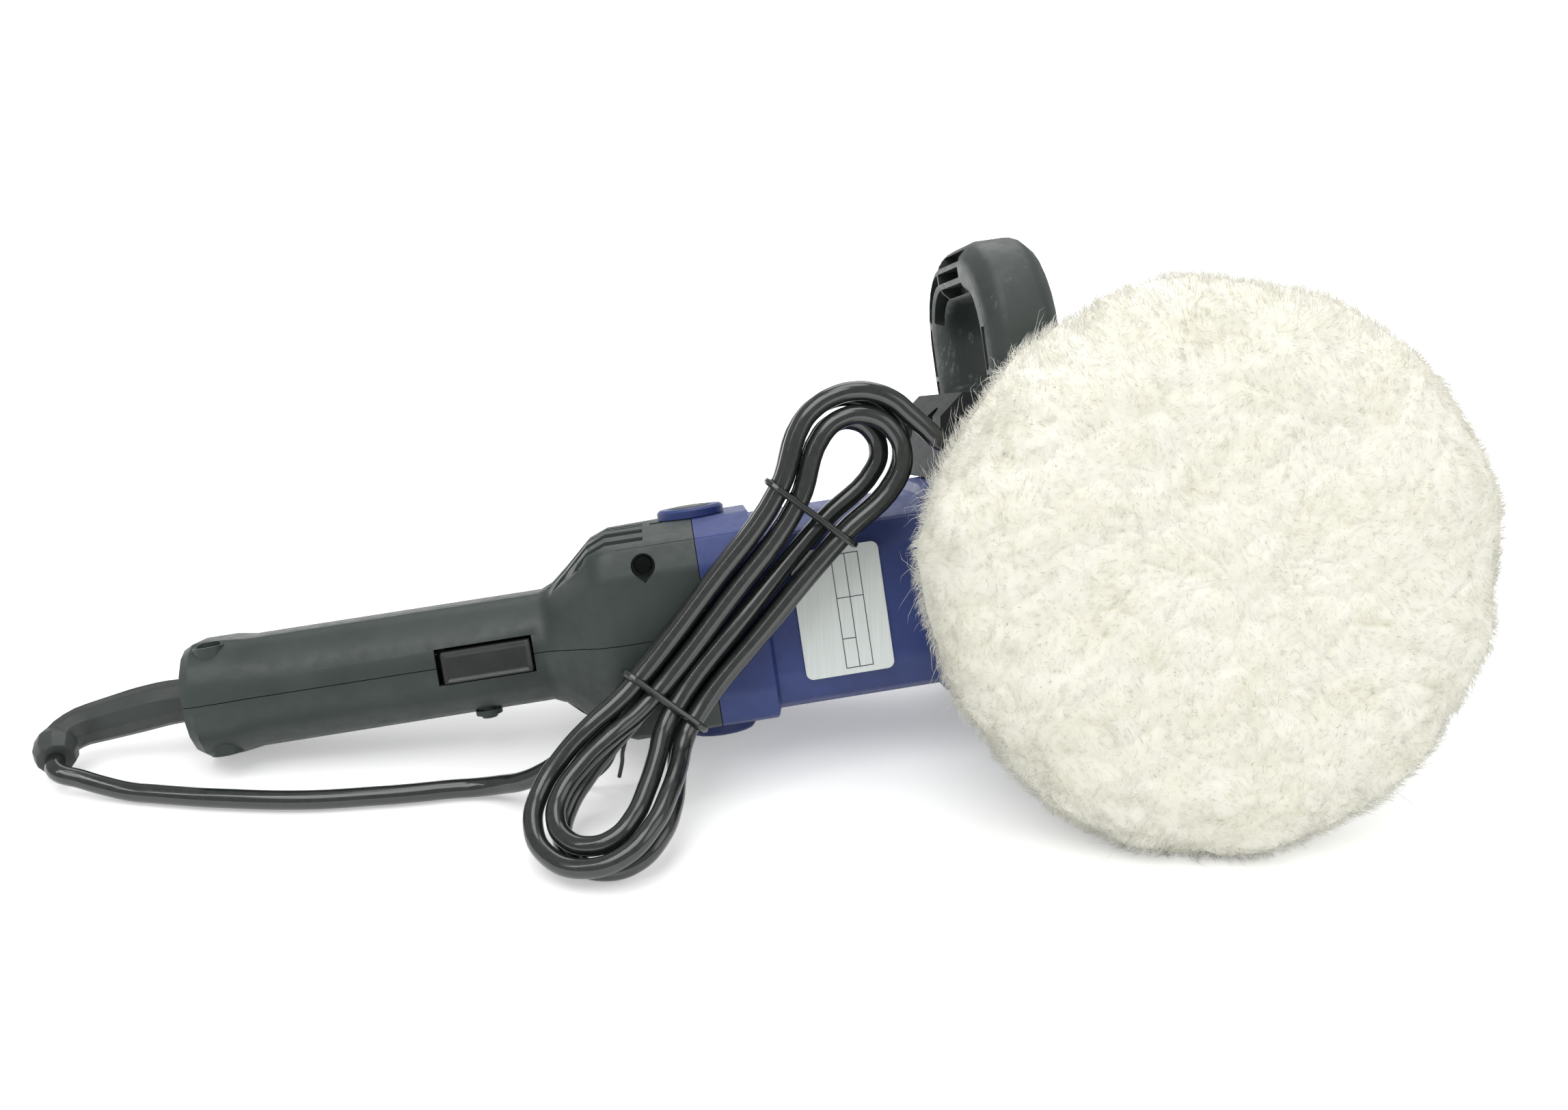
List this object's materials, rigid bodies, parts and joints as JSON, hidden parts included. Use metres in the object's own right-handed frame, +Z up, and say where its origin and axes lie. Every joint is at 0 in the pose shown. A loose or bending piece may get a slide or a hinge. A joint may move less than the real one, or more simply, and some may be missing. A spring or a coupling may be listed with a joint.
{
  "type": "rotary polisher",
  "caption": "Right-angle rotary polisher lying on its side, with a wool bonnet, a loop side grip, a straight rear handle with trigger, and its cord tied in a hank.",
  "frame": {"origin": "Middle of the bounding box without the cord, its hank, ties, boot and plug, at floor level.", "axes": "+X runs from the rear handle to the wool pad, nearly along the motor axis; +Y runs from the wool face towards the back of the gear head; +Z is up from the floor the tool lies on."},
  "size_m": [0.5357, 0.2328, 0.1929],
  "materials": {
    "black_plastic": "fine textured, satin",
    "blue_plastic": "fine textured, satin dark navy",
    "dark_casting": "dark painted die casting",
    "steel": "turned",
    "gear_steel": "cut and hardened",
    "bronze": "sintered bush",
    "brass": "pressed strip",
    "copper": "turned copper segments",
    "carbon": "pressed carbon",
    "laminations": "stacked iron sheets",
    "switch_plastic": "plain",
    "dial_plastic": "ribbed rim",
    "plate_silver": "bare satin plate",
    "rubber": "matte",
    "cord_rubber": "smooth, slightly glossy",
    "wool": "cut wool pile"
  },
  "bodies": {
    "housing": {"bracket_screw_far": "steel", "bracket_screw_near": "steel", "brush_cap_left": "black_plastic", "brush_cap_right": "black_plastic", "brush_collar_left": "blue_plastic", "brush_collar_right": "blue_plastic", "brush_holder_left": "brass", "brush_holder_right": "brass", "carbon_brush_left": "carbon", "carbon_brush_right": "carbon", "cord_clamp": "black_plastic", "cord_hank": "cord_rubber", "cord_tail": "cord_rubber", "d_handle": "black_plastic", "field_stator": "laminations", "front_motor_bearing": "steel", "gear_housing": "dark_casting", "handle_bolt_far": "steel", "handle_bolt_near": "steel", "handle_bracket": "black_plastic", "handle_left_shell": "black_plastic", "handle_right_shell": "black_plastic", "hank_tie_lower": "cord_rubber", "hank_tie_upper": "cord_rubber", "layshaft_front_bearing": "steel", "layshaft_rear_bush": "bronze", "motor_housing": "blue_plastic", "plug": "cord_rubber", "power_cord": "cord_rubber", "rating_plate": "plate_silver", "rear_bearing_plate": "black_plastic", "rear_motor_bearing": "steel", "shell_screw_lower": "steel", "shell_screw_rear": "steel", "shell_screw_upper": "steel", "speed_control": "switch_plastic", "spindle_bearing_cover": "dark_casting", "spindle_lock_spring": "steel", "spindle_lower_bearing": "steel", "spindle_upper_bush": "bronze", "strain_relief": "rubber", "switch_block": "switch_plastic", "trigger_spring": "steel"},
    "spindle": {"spindle": "steel", "crown_gear": "gear_steel", "backing_pad": "rubber", "wool_bonnet": "wool"},
    "layshaft": {"layshaft": "steel", "intermediate_gear": "gear_steel", "bevel_pinion": "gear_steel"},
    "armature": {"armature_shaft": "steel", "armature_core": "laminations", "commutator": "copper", "cooling_fan": "black_plastic", "motor_pinion": "gear_steel"},
    "trigger": {"trigger": "black_plastic"},
    "lock_button": {"lock_button": "black_plastic"},
    "spindle_lock": {"spindle_lock_button": "black_plastic"},
    "dial": {"speed_dial": "dial_plastic"}
  },
  "joints": [
    {"name": "spindle_spin", "type": "hinge", "parent": "housing", "child": "spindle", "pos_m": [0.14283, 0.01379, 0.06872], "axis": [0.0385, 0.9453, -0.3239], "continuous": true},
    {"name": "layshaft_spin", "type": "hinge", "parent": "housing", "child": "layshaft", "pos_m": [0.10385, 0.03204, 0.05775], "axis": [0.993, 0, 0.1179], "continuous": true},
    {"name": "armature_spin", "type": "hinge", "parent": "housing", "child": "armature", "pos_m": [0.0187, 0.01379, 0.05398], "axis": [0.993, 0, 0.1179], "continuous": true},
    {"name": "trigger_press", "type": "slide", "parent": "housing", "child": "trigger", "axis": [0.0385, 0.9453, -0.3239], "range_m": [0, 0.005], "stiffness_N_per_m": 800, "deforming": ["trigger_spring"]},
    {"name": "lock_press", "type": "slide", "parent": "housing", "child": "lock_button", "axis": [-0.1115, 0.3262, 0.9387], "range_m": [0, 0.003], "stiffness_N_per_m": 1000},
    {"name": "spindle_lock_press", "type": "slide", "parent": "housing", "child": "spindle_lock", "axis": [-0.993, 0, -0.1179], "range_m": [0, 0.0042], "stiffness_N_per_m": 900, "deforming": ["spindle_lock_spring"]},
    {"name": "dial_turn", "type": "hinge", "parent": "housing", "child": "dial", "pos_m": [-0.16451, 0.02608, 0.02796], "axis": [-0.1115, 0.3262, 0.9387], "range_deg": [-135, 135]}
  ],
  "couplings": [
    {"joint": "layshaft_spin", "follows": "spindle_spin", "ratio": -3.3636},
    {"joint": "armature_spin", "follows": "spindle_spin", "ratio": 10.091}
  ]
}
